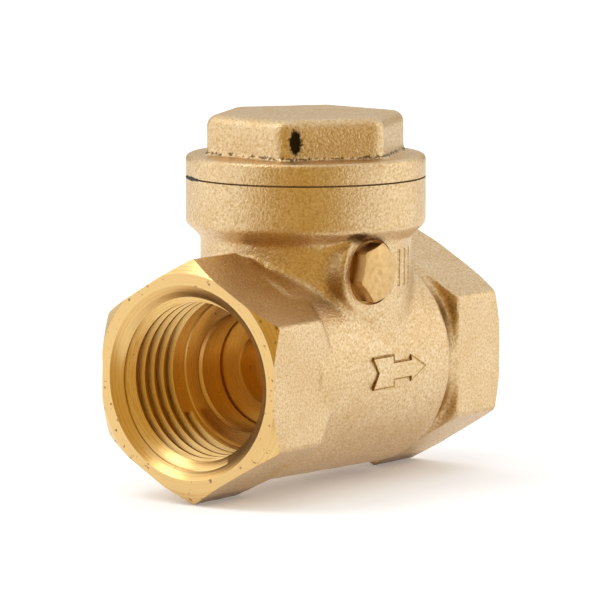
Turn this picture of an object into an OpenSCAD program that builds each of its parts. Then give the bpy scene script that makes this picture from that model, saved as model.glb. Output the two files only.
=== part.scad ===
// Brass swing check valve with female pipe threads.
// Millimetres. Origin: centre of the inlet mouth, on the pipe axis.
// +X is the flow direction, +Z runs up to the bonnet cap, -Y is the side with the hinge-pin plug.

/* [Ends] */
// Length from the inlet face to the outlet face
body_len = 46.5; // [44:0.5:58]
// Width across the flats of both hexagons
hex_af = 25.2; // [24.6:0.2:31]
// Length of the inlet hexagon up to its rear chamfer
inlet_hex_len = 9.4; // [7.5:0.1:11]
// Length of the outlet hexagon
outlet_hex_len = 9.1; // [7.5:0.1:11]
// Length of the turned chamfer on the inlet hexagon's corners
nose_chamfer_len = 1.25; // [0.5:0.05:2]
// Length of the chamfer behind the inlet hexagon's corners
rear_chamfer_len = 2.1; // [1:0.1:3]
// Length of the turned chamfer on the outlet hexagon's corners
outlet_nose_len = 1; // [0.5:0.05:2]
// Bevel on the outlet hexagon's corners where it meets the barrel
outlet_bevel = 0.9; // [0.4:0.1:1.5]

/* [Pipe thread] */
// Major radius of the female pipe thread, which is the wall that the pipe fits in
thread_major_r = 10.478; // [9.5:0.001:10.9]
// Minor radius of the female pipe thread
thread_minor_r = 9.316; // [8.6:0.001:9.4]
// Length of the full-diameter thread wall
thread_len = 9.9; // [8:0.1:12]
// Length of the plain bore between the thread and the shoulder
runout_len = 1.5; // [0.8:0.1:2.5]
// Radius of the bevelled mouth at each face
mouth_r = 11.4; // [11.1:0.05:11.8]
// Depth of the mouth's bevel
mouth_chamfer = 0.4; // [0.2:0.05:0.45]

/* [Seat and chamber] */
// Radius of the seat bore
seat_bore_r = 6.95; // [5.8:0.05:8.4]
// Length of the seat bore, from the inlet shoulder to the seat face
seat_len = 4.05; // [3.4:0.05:5]
// Width of the seat face that the disc closes on
seat_face_w = 1.45; // [1.2:0.05:1.8]
// Height of the seat ring above the chamber's end wall
seat_ring_h = 1; // [0.6:0.1:1.5]
// Space between the disc's edge and the chamber wall
chamber_clear = 2.6; // [2.1:0.1:3]
// Wall of the barrel at the inlet end
barrel_wall = 1.9; // [1.6:0.1:2.4]
// How much the barrel's radius grows towards the outlet
barrel_flare = 0.6; // [0:0.1:1]
// Length of the waist between the barrel's end and the outlet hexagon
waist_len = 2.8; // [1.5:0.1:3.2]
// How far the waist lies below the outlet hexagon's flats
waist_drop = 0.2; // [0.1:0.05:0.4]

/* [Neck and rim] */
// How far the neck bore reaches over the wall behind the seat
neck_lap = 2.75; // [1.8:0.05:3]
// Space between the disc's edge and the neck bore, so that the disc can be lifted out
neck_clear = 2; // [1.2:0.1:2.4]
// Wall of the neck
neck_wall = 2.25; // [1.8:0.05:2.8]
// Ledge between the neck bore and the bonnet thread
neck_ledge = 2.1; // [1.5:0.1:2.5]
// Wall of the rim around the bonnet thread
rim_wall = 1.88; // [1.5:0.02:2.4]
// Height of the rim's thread
rim_h = 5.45; // [4.4:0.05:6.5]
// Height of the slope under the rim, down to the neck
rim_slope = 1.6; // [1:0.1:2]
// Height from the hinge pin to the foot of the rim's thread
rim_above_pin = 5; // [4.6:0.1:6]

/* [Bonnet cap] */
// Thickness of the bonnet gasket
gasket_t = 0.2; // [0.15:0.05:0.6]
// How far the gasket's edge stays inside the rim
gasket_inset = 0.35; // [0.1:0.05:0.6]
// Thickness of the cap's round flange
flange_t = 2.55; // [2:0.05:3.1]
// Width across the flats of the cap's hexagon
cap_af = 21.6; // [19:0.2:24]
// Height of the cap's hexagon
cap_hex_h = 4.9; // [4:0.1:6]
// Rounding of the hexagon's corners and top edge
cap_round = 1.2; // [0.6:0.1:1.6]
// Turn of the hexagon about the bonnet's axis
cap_turn = 22.5; // [0:0.5:60]
// Wall of the cap's hollow threaded spigot
spigot_wall = 2.7; // [2:0.1:3.2]
// Gap between the spigot's end and the ledge that it points at
spigot_gap = 0.3; // [0.1:0.05:1]
// Radial clearance that stands for the cut thread between spigot and rim
thread_clear = 0.05; // [0.02:0.01:0.1]

/* [Hinge] */
// Radius of the hinge pin
pin_r = 1.5; // [1.2:0.05:1.8]
// Running clearance between the pin and what turns on it
pin_clear = 0.05; // [0.02:0.01:0.1]
// Radius of the hanger's hub
hub_r = 2.6; // [2.3:0.05:3]
// Half the length of the hanger's hub
hub_half_len = 7.6; // [6:0.1:7.8]
// Distance of the pin behind the seat face
pin_set_back = 4.15; // [3.9:0.05:5]
// Gap between the disc's top edge and the hub
hub_gap = 1; // [0.6:0.1:1.6]
// Depth of the pin's blind hole in the far wall
pin_hole_depth = 1; // [0.6:0.1:1.2]

/* [Side plug] */
// Width across the flats of the plug's head
plug_af = 6.3; // [5.5:0.1:7]
// Height of the plug's head
plug_head_h = 1.8; // [1.2:0.05:2.2]
// Radius of the plug's threaded shank
plug_shank_r = 2.5; // [2.3:0.05:3]
// Length of the plug's threaded shank
plug_shank_len = 2.1; // [1.9:0.1:2.4]
// Depth of the socket that holds the pin's end
plug_socket = 1.3; // [0.9:0.1:1.5]
// Radius of the spot-faced seat round the plug's head
spotface_r = 3.9; // [3.8:0.1:4.5]
// Distance of the spot face from the pipe axis
spotface_y = 11.65; // [11.6:0.05:12.4]
// Radius of the cast boss at its lip, round the plug
pin_boss_r = 5.1; // [4.8:0.1:5.5]
// How much wider the boss is where it leaves the neck's wall
pin_boss_spread = 0.9; // [0:0.1:2.4]
// How far the boss stands above the spot face
pin_boss_lip = 0.15; // [0.05:0.05:1]

/* [Clapper] */
// Thickness of the disc's rim
disc_rim_t = 2; // [1.5:0.1:2.4]
// Thickness of the disc's hub, from its face to its back
disc_hub_t = 4; // [3.6:0.1:4.6]
// Radius of the disc's hub
disc_hub_r = 5.6; // [5:0.1:6.2]
// Radius of the recess in the disc's face
disc_recess_r = 4.2; // [3:0.1:4.6]
// Depth of the recess in the disc's face
disc_recess = 2.45; // [1.5:0.05:2.7]
// Gap between the closed disc and the seat face
seat_gap = 0.02; // [0.01:0.01:0.05]
// Radius of the disc's stud
stud_r = 2; // [1.7:0.05:2.3]
// Radial clearance between the stud and the hanger's eye
stud_clear = 0.05; // [0.02:0.01:0.1]
// Play along the stud, on each side of the eye
stud_play = 0.1; // [0.05:0.01:0.2]
// Thickness of the hanger's eye and web
eye_t = 1.8; // [1.5:0.1:2.2]
// Radius of the hanger's eye
eye_r = 4; // [3.5:0.1:4.6]
// Width of the hanger's web
web_w = 5; // [4:0.2:6]
// Radius of the disc washer
washer_r = 4; // [3.5:0.1:4.5]
// Thickness of the disc washer
washer_t = 0.6; // [0.4:0.1:0.8]
// Width across the flats of the disc nut
nut_af = 6.8; // [6:0.1:7]
// Height of the disc nut
nut_h = 2.4; // [2:0.1:3]
// Length of stud beyond the nut
stud_end = 0.4; // [0.2:0.1:0.8]

/* [Flow arrow] */
// Distance from the inlet face to the arrow's tail
arrow_x = 18.9; // [17:0.1:21]
// Length of the arrow from tail to tip
arrow_len = 10.2; // [8:0.1:12]
// Length of the arrow's head
arrow_head_len = 2.7; // [2:0.1:4]
// Length of the arrow's tail block
arrow_tail_len = 3.9; // [3:0.1:5]
// Half width of the arrow's tail block
arrow_tail_w = 1.8; // [1.4:0.05:2.2]
// Half width of the arrow's head
arrow_head_w = 1.45; // [1.2:0.05:2]
// Half width of the arrow's shaft
arrow_shaft_w = 0.95; // [0.6:0.05:1.2]
// Depth of the notch in the arrow's tail
arrow_notch = 1.1; // [0.5:0.1:2]
// Height of the arrow above the barrel
arrow_h = 0.4; // [0.2:0.05:0.8]

/* [Hidden] */
$fn = 96;
// How far a cutting tool runs past the surface that it cuts
over = 1;

// Hexagon corner radii and the turned face's edge, which lies just past the flats
hex_r = hex_af / 2 / cos(30);
nose_r = hex_af / 2 + 0.3;

// Seat, disc and chamber, from the seat bore outwards
shoulder_x = mouth_chamfer + thread_len + runout_len;
seat_x = shoulder_x + seat_len;
disc_r = seat_bore_r + seat_face_w;
chamber_r = disc_r + chamber_clear;
barrel_r = chamber_r + barrel_wall;
chamber_start = seat_x - seat_ring_h;
chamber_end = body_len - mouth_chamfer - thread_len - runout_len - 1;

// Hinge
pin_x = seat_x + pin_set_back;
pin_z = disc_r + hub_gap + hub_r;

// Neck, rim and cap
neck_bore_r = disc_r + neck_clear;
neck_r = neck_bore_r + neck_wall;
bonnet_x = seat_x + neck_bore_r - neck_lap;
bonnet_thread_r = neck_bore_r + neck_ledge;
rim_r = bonnet_thread_r + rim_wall;
rim_foot = pin_z + rim_above_pin;
rim_z = rim_foot + rim_h;
flange_z = rim_z + gasket_t;
cap_hex_z = flange_z + flange_t;
cap_top = cap_hex_z + cap_hex_h;
spigot_r = bonnet_thread_r - thread_clear;

// Far end of the pin's blind hole, from the neck bore's wall beside the pin
neck_half_at_pin = sqrt(pow(neck_bore_r, 2) - pow(bonnet_x - pin_x, 2));
pin_hole_end = neck_half_at_pin + pin_hole_depth;
pin_end_gap = 0.1;

// Stack along the disc's stud
disc_x = seat_x + seat_gap;
disc_back = disc_x + disc_hub_t;
eye_x = disc_back + stud_play;
washer_x = eye_x + eye_t + stud_play;
nut_x = washer_x + washer_t;

// Places a shape drawn round +Z so that it lies round the pipe axis, at a distance from the inlet face
module along_x(x = 0) {
    translate([x, 0, 0]) rotate([0, 90, 0]) children();
}

// Places a shape drawn round +Z so that it lies along -Y through the hinge axis, from a given y
module along_pin(y) {
    translate([pin_x, -y, pin_z]) rotate([90, 0, 0]) children();
}

// A solid turned round the pipe axis, from points of [radius, x]
module turned(points) {
    along_x() rotate_extrude() polygon(points);
}

// The inlet hexagon, with its turned nose and its rear chamfer
module inlet_hex() {
    intersection() {
        along_x() cylinder(h = inlet_hex_len + rear_chamfer_len, r = hex_r, $fn = 6);
        turned([[0, 0], [nose_r, 0], [hex_r, nose_chamfer_len], [hex_r, inlet_hex_len],
                [barrel_r, inlet_hex_len + rear_chamfer_len], [0, inlet_hex_len + rear_chamfer_len]]);
    }
}

// The outlet hexagon, with a turned nose and a small bevel towards the barrel
module outlet_hex() {
    start = body_len - outlet_hex_len;
    intersection() {
        along_x(start) cylinder(h = outlet_hex_len, r = hex_r, $fn = 6);
        turned([[0, start], [hex_r - outlet_bevel, start], [hex_r, start + outlet_bevel / 2],
                [hex_r, body_len - outlet_nose_len], [nose_r, body_len], [0, body_len]]);
    }
}

// The barrel between the hexagons, which ends in a shoulder and a short waist
module barrel() {
    start = inlet_hex_len;
    hex_start = body_len - outlet_hex_len;
    end = hex_start - waist_len;
    end_r = barrel_r + barrel_flare;
    waist_r = min(hex_af / 2 - waist_drop, end_r - waist_drop);
    turned([[0, start], [barrel_r, start], [end_r, end], [waist_r, end + waist_len / 3],
            [waist_r, hex_start + over], [0, hex_start + over]]);
}

// The neck and the rim that carries the bonnet thread
module neck_and_rim() {
    translate([bonnet_x, 0, 0]) rotate_extrude() polygon([
        [0, 0], [neck_r, 0], [neck_r, rim_foot - rim_slope], [rim_r, rim_foot],
        [rim_r, rim_z], [0, rim_z]]);
}

// The cast boss round the hinge pin's plug, which narrows outwards from the neck
module pin_boss() {
    root_y = spotface_y / 3;
    along_pin(root_y) cylinder(h = spotface_y + pin_boss_lip - root_y,
                               r1 = pin_boss_r + pin_boss_spread, r2 = pin_boss_r);
}

// The raised flow arrow on the -Y side, with a notched tail
module flow_arrow() {
    mid_r = barrel_r + barrel_flare / 2;
    head_x = arrow_len - arrow_head_len;
    translate([arrow_x, -mid_r + over, 0]) rotate([90, 0, 0])
        linear_extrude(height = over + arrow_h) polygon([
            [0, arrow_tail_w], [arrow_tail_len, arrow_tail_w], [arrow_tail_len, arrow_shaft_w],
            [head_x, arrow_shaft_w], [head_x, arrow_head_w], [arrow_len, 0],
            [head_x, -arrow_head_w], [head_x, -arrow_shaft_w], [arrow_tail_len, -arrow_shaft_w],
            [arrow_tail_len, -arrow_tail_w], [0, -arrow_tail_w], [arrow_notch, 0]]);
}

// The threaded socket at one end, cut from the face inwards
module pipe_socket() {
    thread_end = mouth_chamfer + thread_len;
    along_x(-over) cylinder(h = over + mouth_chamfer + thread_len, r = thread_major_r);
    along_x(-over) cylinder(h = over + thread_end + runout_len, r = thread_minor_r);
    along_x() cylinder(h = mouth_chamfer, r1 = mouth_r, r2 = thread_major_r);
    along_x(-over) cylinder(h = over, r = mouth_r);
}

// Everything that is hollow along the pipe axis
module flow_way() {
    pipe_socket();
    translate([body_len, 0, 0]) rotate([0, 0, 180]) pipe_socket();
    along_x(shoulder_x - over) cylinder(h = over + seat_len + over, r = seat_bore_r);
    difference() {
        along_x(chamber_start) cylinder(h = chamber_end - chamber_start, r = chamber_r);
        along_x(chamber_start - over) cylinder(h = over + seat_ring_h, r = disc_r);
    }
    along_x(chamber_end - over) cylinder(h = over + runout_len + over, r = thread_minor_r);
}

// The neck bore, the bonnet thread, and the holes for the pin and its plug
module neck_way() {
    translate([bonnet_x, 0, disc_r + hub_gap / 2]) cylinder(h = rim_z, r = neck_bore_r);
    translate([bonnet_x, 0, rim_foot]) cylinder(h = rim_h + over, r = bonnet_thread_r);
    along_pin(-pin_hole_end) cylinder(h = pin_hole_end, r = pin_r + pin_clear);
    along_pin(0) cylinder(h = spotface_y + over, r = plug_shank_r + thread_clear);
    along_pin(spotface_y) cylinder(h = spotface_y, r = spotface_r);
}

module valve_body() {
    color("burlywood") difference() {
        union() {
            inlet_hex();
            barrel();
            outlet_hex();
            neck_and_rim();
            pin_boss();
            flow_arrow();
        }
        flow_way();
        neck_way();
    }
}

module bonnet_cap() {
    cap_hex_r = cap_af / 2 / cos(30);
    round_r = cap_hex_r - cap_round * (1 / cos(30) - 1);
    color("tan") translate([bonnet_x, 0, 0]) difference() {
        union() {
            intersection() {
                translate([0, 0, cap_hex_z - over]) rotate([0, 0, cap_turn])
                    cylinder(h = cap_hex_h + over, r = cap_hex_r, $fn = 6);
                rotate_extrude() polygon([
                    [0, flange_z], [round_r, flange_z], [round_r, cap_top - cap_round],
                    [round_r - cap_round, cap_top], [0, cap_top]]);
            }
            translate([0, 0, flange_z]) cylinder(h = flange_t, r = rim_r);
            translate([0, 0, rim_foot + spigot_gap])
                cylinder(h = flange_z - rim_foot - spigot_gap + over, r = spigot_r);
        }
        translate([0, 0, rim_foot - over])
            cylinder(h = cap_hex_z - rim_foot + over, r = spigot_r - spigot_wall);
    }
}

module bonnet_gasket() {
    color("dimgray") translate([bonnet_x, 0, rim_z]) difference() {
        cylinder(h = gasket_t, r = rim_r - gasket_inset);
        translate([0, 0, -over]) cylinder(h = gasket_t + 2 * over, r = spigot_r + thread_clear);
    }
}

module hinge_pin() {
    far_y = -pin_hole_end + pin_end_gap;
    near_y = spotface_y - plug_shank_len + plug_socket - pin_end_gap;
    color("silver") along_pin(far_y) cylinder(h = near_y - far_y, r = pin_r);
}

module pin_plug() {
    dimple_r = 0.5;
    dimple_depth = 0.25;
    shank_y = spotface_y - plug_shank_len;
    color("goldenrod") difference() {
        union() {
            along_pin(spotface_y) rotate([0, 0, 15])
                cylinder(h = plug_head_h, r = plug_af / 2 / cos(30), $fn = 6);
            along_pin(shank_y) cylinder(h = plug_shank_len, r = plug_shank_r);
        }
        along_pin(shank_y - over) cylinder(h = over + plug_socket, r = pin_r + pin_clear);
        along_pin(spotface_y + plug_head_h - dimple_depth) cylinder(h = over, r = dimple_r);
    }
}

module hanger_arm() {
    color("peru") difference() {
        union() {
            along_pin(-hub_half_len) cylinder(h = 2 * hub_half_len, r = hub_r);
            along_x(eye_x) cylinder(h = eye_t, r = eye_r);
            translate([eye_x, -web_w / 2, 0]) cube([eye_t, web_w, pin_z]);
        }
        along_pin(-hub_half_len - over) cylinder(h = 2 * (hub_half_len + over), r = pin_r + pin_clear);
        along_x(eye_x - over) cylinder(h = eye_t + 2 * over, r = stud_r + stud_clear);
    }
}

module clapper_disc() {
    stud_tip = nut_x + nut_h + stud_end;
    color("gold") turned([
        [0, disc_x + disc_recess], [disc_recess_r, disc_x + disc_recess], [disc_recess_r, disc_x],
        [disc_r, disc_x], [disc_r, disc_x + disc_rim_t], [disc_hub_r, disc_back],
        [stud_r, disc_back], [stud_r, stud_tip], [0, stud_tip]]);
}

module disc_washer() {
    color("lightgray") difference() {
        along_x(washer_x) cylinder(h = washer_t, r = washer_r);
        along_x(washer_x - over) cylinder(h = washer_t + 2 * over, r = stud_r + stud_clear);
    }
}

module disc_nut() {
    color("darkkhaki") difference() {
        along_x(nut_x) cylinder(h = nut_h, r = nut_af / 2 / cos(30), $fn = 6);
        along_x(nut_x - over) cylinder(h = nut_h + 2 * over, r = stud_r + thread_clear);
    }
}

valve_body();
bonnet_cap();
bonnet_gasket();
hinge_pin();
pin_plug();
hanger_arm();
clapper_disc();
disc_washer();
disc_nut();
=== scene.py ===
"""Brass swing check valve: the detailed pieces, their finishes and the studio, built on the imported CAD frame.

Shapes are worked in millimetres and scaled to metres when each piece is seated on its body.
Cast pieces are made as the real ones are: rough stock, then the cuts of the lathe, tap and drill.
"""

import logging
import math
from collections.abc import Sequence
from dataclasses import dataclass, field
from enum import Enum
from typing import Any

import bmesh
import bpy
import numpy as np
from mathutils import Matrix, Vector


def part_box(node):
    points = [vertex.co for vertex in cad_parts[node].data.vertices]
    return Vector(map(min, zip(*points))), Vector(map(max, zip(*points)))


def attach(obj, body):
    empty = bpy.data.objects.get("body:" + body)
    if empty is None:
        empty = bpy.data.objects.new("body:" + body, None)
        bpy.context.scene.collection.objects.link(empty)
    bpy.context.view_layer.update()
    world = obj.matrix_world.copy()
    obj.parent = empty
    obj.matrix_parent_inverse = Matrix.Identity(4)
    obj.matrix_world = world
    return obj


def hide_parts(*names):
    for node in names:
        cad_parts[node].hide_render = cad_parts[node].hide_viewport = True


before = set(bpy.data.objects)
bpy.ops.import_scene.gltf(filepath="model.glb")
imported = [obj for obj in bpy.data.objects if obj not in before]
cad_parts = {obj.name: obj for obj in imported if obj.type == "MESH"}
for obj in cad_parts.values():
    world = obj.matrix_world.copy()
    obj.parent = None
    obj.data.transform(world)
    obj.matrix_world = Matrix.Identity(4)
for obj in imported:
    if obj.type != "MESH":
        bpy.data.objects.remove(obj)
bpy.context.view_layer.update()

MM = 0.001
# How far a cutting tool runs past the surface that it cuts, in millimetres
OVER = 1.0
# How far a tool stands clear of the piece where it cuts nothing
CLEAR = 3.0
# How far two solids that are joined run into each other
LAP = 0.5
# Radius of a facing cut that is wider than the whole valve
WIDE = 20.0
# Steps round a full turn of a turned shape, and of a thread
TURN_STEPS = 144
THREAD_STEPS = 90
MERGE_MM = 1e-4
# Edges sharper than this are shaded as edges
CREASE = math.radians(32)
# How far a hollow corner moves towards full in one round of filling
FILL_RATE = 0.8
# Width of the slow unevenness of a casting
WAVE_MM = 3.5
# The middle level of a noise texture
NOISE_MEAN = 0.5

log = logging.getLogger("valve")

Profile = Sequence[tuple[float, float]]
Box = tuple[Vector, Vector]
Solid = bpy.types.Object
Material = bpy.types.Material
Tree = bpy.types.NodeTree
Socket = bpy.types.NodeSocket


class Axis(Enum):
    """A direction that a solid is turned about, with the direction in which its outline is drawn."""

    PIPE = ((1.0, 0.0, 0.0), (0.0, 0.0, 1.0))
    PLUG = ((0.0, -1.0, 0.0), (1.0, 0.0, 0.0))
    BONNET = ((0.0, 0.0, 1.0), (1.0, 0.0, 0.0))

    @property
    def along(self) -> Vector:
        """The axis itself."""
        return Vector(self.value[0])

    @property
    def out(self) -> Vector:
        """The direction that an outline's radius is measured in."""
        return Vector(self.value[1])

    @property
    def side(self) -> Vector:
        """The third direction, square to the other two."""
        return self.along.cross(self.out)

    def matrix(self, centre: Vector) -> Matrix:
        """The placing of a shape drawn about +Z on this axis.

        Args:
            centre: The point on the axis that the shape's origin goes to.

        Returns:
            The matrix that puts it there.
        """
        columns = Matrix((self.out, self.side, self.along)).transposed()
        return Matrix.Translation(centre) @ columns.to_4x4()


class Cut(Enum):
    """How one solid is combined with another."""

    REMOVE = "DIFFERENCE"
    WELD = "UNION"
    KEEP = "INTERSECT"


def box_mm(node: str) -> Box:
    """The lowest and highest corner of a CAD node.

    Args:
        node: The node's name.

    Returns:
        The two corners, in millimetres.
    """
    low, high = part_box(node)
    return low / MM, high / MM


def middle_mm(node: str) -> Vector:
    """The middle of a CAD node's box, on the valve's plane of symmetry.

    Args:
        node: The node's name.

    Returns:
        The point, in millimetres.
    """
    low, high = box_mm(node)
    return Vector(((low.x + high.x) / 2, 0, (low.z + high.z) / 2))


def foot_mm(node: str) -> Vector:
    """The point straight below a CAD node's middle, at the height of the pipe's axis."""
    return Vector((middle_mm(node).x, 0, 0))


# ---------------------------------------------------------------- shapes


def mesh_object(name: str, bm: bmesh.types.BMesh) -> Solid:
    """Turns a bmesh into an object in the scene.

    Args:
        name: The object's name.
        bm: The bmesh, which is freed.

    Returns:
        The new object.
    """
    mesh = bpy.data.meshes.new(name)
    bm.to_mesh(mesh)
    bm.free()
    made = bpy.data.objects.new(name, mesh)
    bpy.context.scene.collection.objects.link(made)
    return made


def closed(bm: bmesh.types.BMesh) -> bmesh.types.BMesh:
    """Merges doubled points, and turns every face outwards.

    Args:
        bm: The bmesh to clean.

    Returns:
        The same bmesh.
    """
    bmesh.ops.remove_doubles(bm, verts=bm.verts, dist=MERGE_MM)
    bmesh.ops.recalc_face_normals(bm, faces=bm.faces)
    return bm


def spun(
    outline: Profile, axis: Axis, centre: Vector, steps: int, turns: float = 1.0, rise: float = 0.0, ring: bool = True
) -> bmesh.types.BMesh:
    """Spins an outline about an axis.

    Args:
        outline: Points of (radius, distance along the axis), in millimetres.
        axis: The axis that it turns about.
        centre: The point on the axis that distances are measured from.
        steps: The number of steps in all.
        turns: The number of turns in all.
        rise: Advance along the axis in one step.
        ring: Whether the outline closes on itself.

    Returns:
        The bmesh.
    """
    bm = bmesh.new()
    points = [bm.verts.new(centre + axis.out * r + axis.along * a) for r, a in outline]
    edges = [bm.edges.new(pair) for pair in zip(points, points[1:] + points[:1] if ring else points[1:])]
    bmesh.ops.spin(
        bm, geom=points + edges, cent=centre, axis=axis.along, dvec=axis.along * rise, angle=math.tau * turns,
        steps=steps, use_merge=not rise, use_duplicate=False,
    )
    return bm


def turned(outline: Profile, axis: Axis, centre: Vector, ring: bool = False, steps: int = TURN_STEPS) -> Solid:
    """Turns an outline into a solid, as a lathe does.

    Args:
        outline: Points of (radius, distance along the axis), in millimetres.
        axis: The axis that it turns about.
        centre: The point on the axis that distances are measured from.
        ring: Whether the outline closes on itself away from the axis.
        steps: The number of steps round a full turn.

    Returns:
        The solid.
    """
    return mesh_object("turned", closed(spun(outline, axis, centre, steps, ring=ring)))


def rod(radius: float, start: float, end: float, axis: Axis, centre: Vector) -> Solid:
    """A plain round bar, used as stock or as a drill.

    Args:
        radius: Its radius.
        start: Where it starts along the axis.
        end: Where it ends along the axis.
        axis: The axis that it lies on.
        centre: The point that start and end are measured from.

    Returns:
        The bar.
    """
    return turned([(0, start), (radius, start), (radius, end), (0, end)], axis, centre)


def hexagon(
    corner_r: float, start: float, end: float, axis: Axis, centre: Vector, turn: float = 0.0,
    side_round: float = 0.0, top_round: float = 0.0, segments: int = 6,
) -> Solid:
    """A hexagonal bar with optional rounded sides and a rounded top edge.

    Args:
        corner_r: Radius to the corners.
        start: Where it starts along the axis.
        end: Where it ends along the axis.
        axis: The axis that it lies on.
        centre: The point that start and end are measured from.
        turn: Turn of the first corner, in degrees.
        side_round: Setback of the rounding along the sides.
        top_round: Setback of the rounding round the far end.
        segments: Steps across each rounding.

    Returns:
        The bar.
    """
    bm = bmesh.new()
    # A circle's first point lies on its second axis, a quarter turn on
    place = axis.matrix(centre + axis.along * start) @ Matrix.Rotation(math.radians(turn - 90), 4, "Z")
    bmesh.ops.create_circle(bm, cap_ends=True, radius=corner_r, segments=6, matrix=place)
    grown = bmesh.ops.extrude_face_region(bm, geom=list(bm.faces))["geom"]
    top = [g for g in grown if isinstance(g, bmesh.types.BMVert)]
    bmesh.ops.translate(bm, verts=top, vec=axis.along * (end - start))
    closed(bm)
    settings = {"segments": segments, "profile": 0.5, "affect": "EDGES", "material": -1}
    if side_round:
        ends = [(e, e.verts[0].co - e.verts[1].co) for e in bm.edges]
        sides = [e for e, run in ends if abs(run.normalized().dot(axis.along)) > 1 - MERGE_MM]
        bmesh.ops.bevel(bm, geom=sides, offset=side_round, **settings)
    if top_round:
        level = centre.dot(axis.along) + end
        rim = [e for e in bm.edges if all(abs(v.co.dot(axis.along) - level) < MERGE_MM for v in e.verts)]
        bmesh.ops.bevel(bm, geom=rim, offset=top_round, **settings)
    return mesh_object("hexagon", closed(bm))


def block(low: Sequence[float], high: Sequence[float]) -> Solid:
    """A rectangular block between two corners.

    Args:
        low: Its lowest corner.
        high: Its highest corner.

    Returns:
        The block.
    """
    bm = bmesh.new()
    size = Vector(high) - Vector(low)
    middle = (Vector(high) + Vector(low)) / 2
    bmesh.ops.create_cube(bm, size=1, matrix=Matrix.Translation(middle) @ Matrix.Diagonal(size).to_4x4())
    return mesh_object("block", closed(bm))


def helix(section: Profile, axis: Axis, centre: Vector, pitch: float, turns: float) -> Solid:
    """A ridge that winds round an axis, used to cut a thread.

    Args:
        section: Points of (radius, distance along the axis) round the ridge's section.
        axis: The axis that it winds about.
        centre: The point that the section's distances are measured from.
        pitch: Advance in one turn.
        turns: The number of turns.

    Returns:
        The ridge, closed at both ends.
    """
    steps = round(turns * THREAD_STEPS)
    bm = spun(section, axis, centre, steps, steps / THREAD_STEPS, pitch / THREAD_STEPS)
    bmesh.ops.holes_fill(bm, edges=[e for e in bm.edges if e.is_boundary], sides=0)
    return mesh_object("helix", closed(bm))


@dataclass(frozen=True)
class ScrewThread:
    """The groove of an outside thread: its pitch, depth, half width and half width at the root."""

    pitch: float
    depth: float
    half: float
    root: float

    def groove(self, radius: float, axis: Axis, start: Vector, length: float) -> Solid:
        """The ridge that cuts the groove in a bar.

        Args:
            radius: The bar's radius.
            axis: The bar's axis.
            start: The point on the axis where the thread starts.
            length: How far it runs.

        Returns:
            The ridge.
        """
        outer, inner = radius + 0.05, radius - self.depth
        section = [(outer, -self.half), (outer, self.half), (inner, self.root), (inner, -self.root)]
        return helix(section, axis, start, self.pitch, length / self.pitch)


def bake(shape: Solid) -> Solid:
    """Applies every modifier on an object.

    Args:
        shape: The object.

    Returns:
        The same object, with the result as its mesh.
    """
    graph = bpy.context.evaluated_depsgraph_get()
    made = bpy.data.meshes.new_from_object(shape.evaluated_get(graph))
    old = shape.data
    shape.modifiers.clear()
    shape.data = made
    bpy.data.meshes.remove(old)
    return shape


def machine(stock: Solid, tool: Solid, cut: Cut = Cut.REMOVE, finish: Material | None = None) -> Solid:
    """Combines a tool's shape with the stock, and gives what it touched the tool's finish.

    Args:
        stock: The piece being made.
        tool: The solid that cuts or is welded on, which is used up.
        cut: How the two combine.
        finish: The finish of the new faces.

    Returns:
        The stock.
    """
    if finish is not None:
        tool.data.materials.append(finish)
    modifier = stock.modifiers.new("cut", "BOOLEAN")
    modifier.operation = cut.value
    modifier.solver = "MANIFOLD"
    modifier.object = tool
    if finish is not None:
        modifier.material_mode = "TRANSFER"
    bake(stock)
    bpy.data.objects.remove(tool)
    return stock


def cast(name: str, stock: Sequence[Solid], voxel: float, soften: int, flow: int, waviness: float = 0.0) -> Solid:
    """Casts overlapping solids as one piece, with soft outer corners and filled hollow corners.

    Args:
        name: The casting's name.
        stock: The solids, which are used up.
        voxel: Size of the grid that the casting is made on.
        soften: Rounds of smoothing, which set how soft the outer corners are.
        flow: Rounds of filling, which set how large the fillets are.
        waviness: Height of the slow unevenness that a sand mould leaves.

    Returns:
        The casting.
    """
    bm = bmesh.new()
    for solid in stock:
        bm.from_mesh(solid.data)
        bpy.data.objects.remove(solid)
    shape = mesh_object(name, bm)
    remesh = shape.modifiers.new("grid", "REMESH")
    remesh.mode = "VOXEL"
    remesh.voxel_size = voxel
    smooth = shape.modifiers.new("soften", "SMOOTH")
    smooth.factor = 0.5
    smooth.iterations = soften
    bake(shape)
    fill_creases(shape.data, flow)
    if waviness:
        pattern = bpy.data.textures.new(name + "_waves", "CLOUDS")
        pattern.noise_scale = WAVE_MM
        waves = shape.modifiers.new("waves", "DISPLACE")
        waves.texture = pattern
        waves.strength = waviness
        waves.mid_level = 0.5
        bake(shape)
    return shape


def fill_creases(mesh: bpy.types.Mesh, rounds: int) -> None:
    """Lets hollow corners fill, as a fillet in a mould does, and leaves outer corners as they are.

    Args:
        mesh: The mesh, which is changed.
        rounds: How many rounds of filling.
    """
    count = len(mesh.vertices)
    points = np.empty(count * 3, np.float32)
    normals = np.empty(count * 3, np.float32)
    ends = np.empty(len(mesh.edges) * 2, np.int32)
    mesh.vertices.foreach_get("co", points)
    mesh.edges.foreach_get("vertices", ends)
    points = points.reshape(-1, 3)
    near, far = np.concatenate([ends[0::2], ends[1::2]]), np.concatenate([ends[1::2], ends[0::2]])
    neighbours = np.bincount(near, minlength=count)[:, None]
    for _ in range(rounds):
        mesh.vertex_normals.foreach_get("vector", normals)
        facing = normals.reshape(-1, 3)
        sums = [np.bincount(near, weights=points[far, i], minlength=count) for i in range(3)]
        rise = ((np.stack(sums, 1) / neighbours - points) * facing).sum(1).clip(0)
        points += (facing * rise[:, None] * FILL_RATE).astype(np.float32)
        mesh.vertices.foreach_set("co", points.ravel())
        mesh.update()


# ---------------------------------------------------------------- finishes


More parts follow.
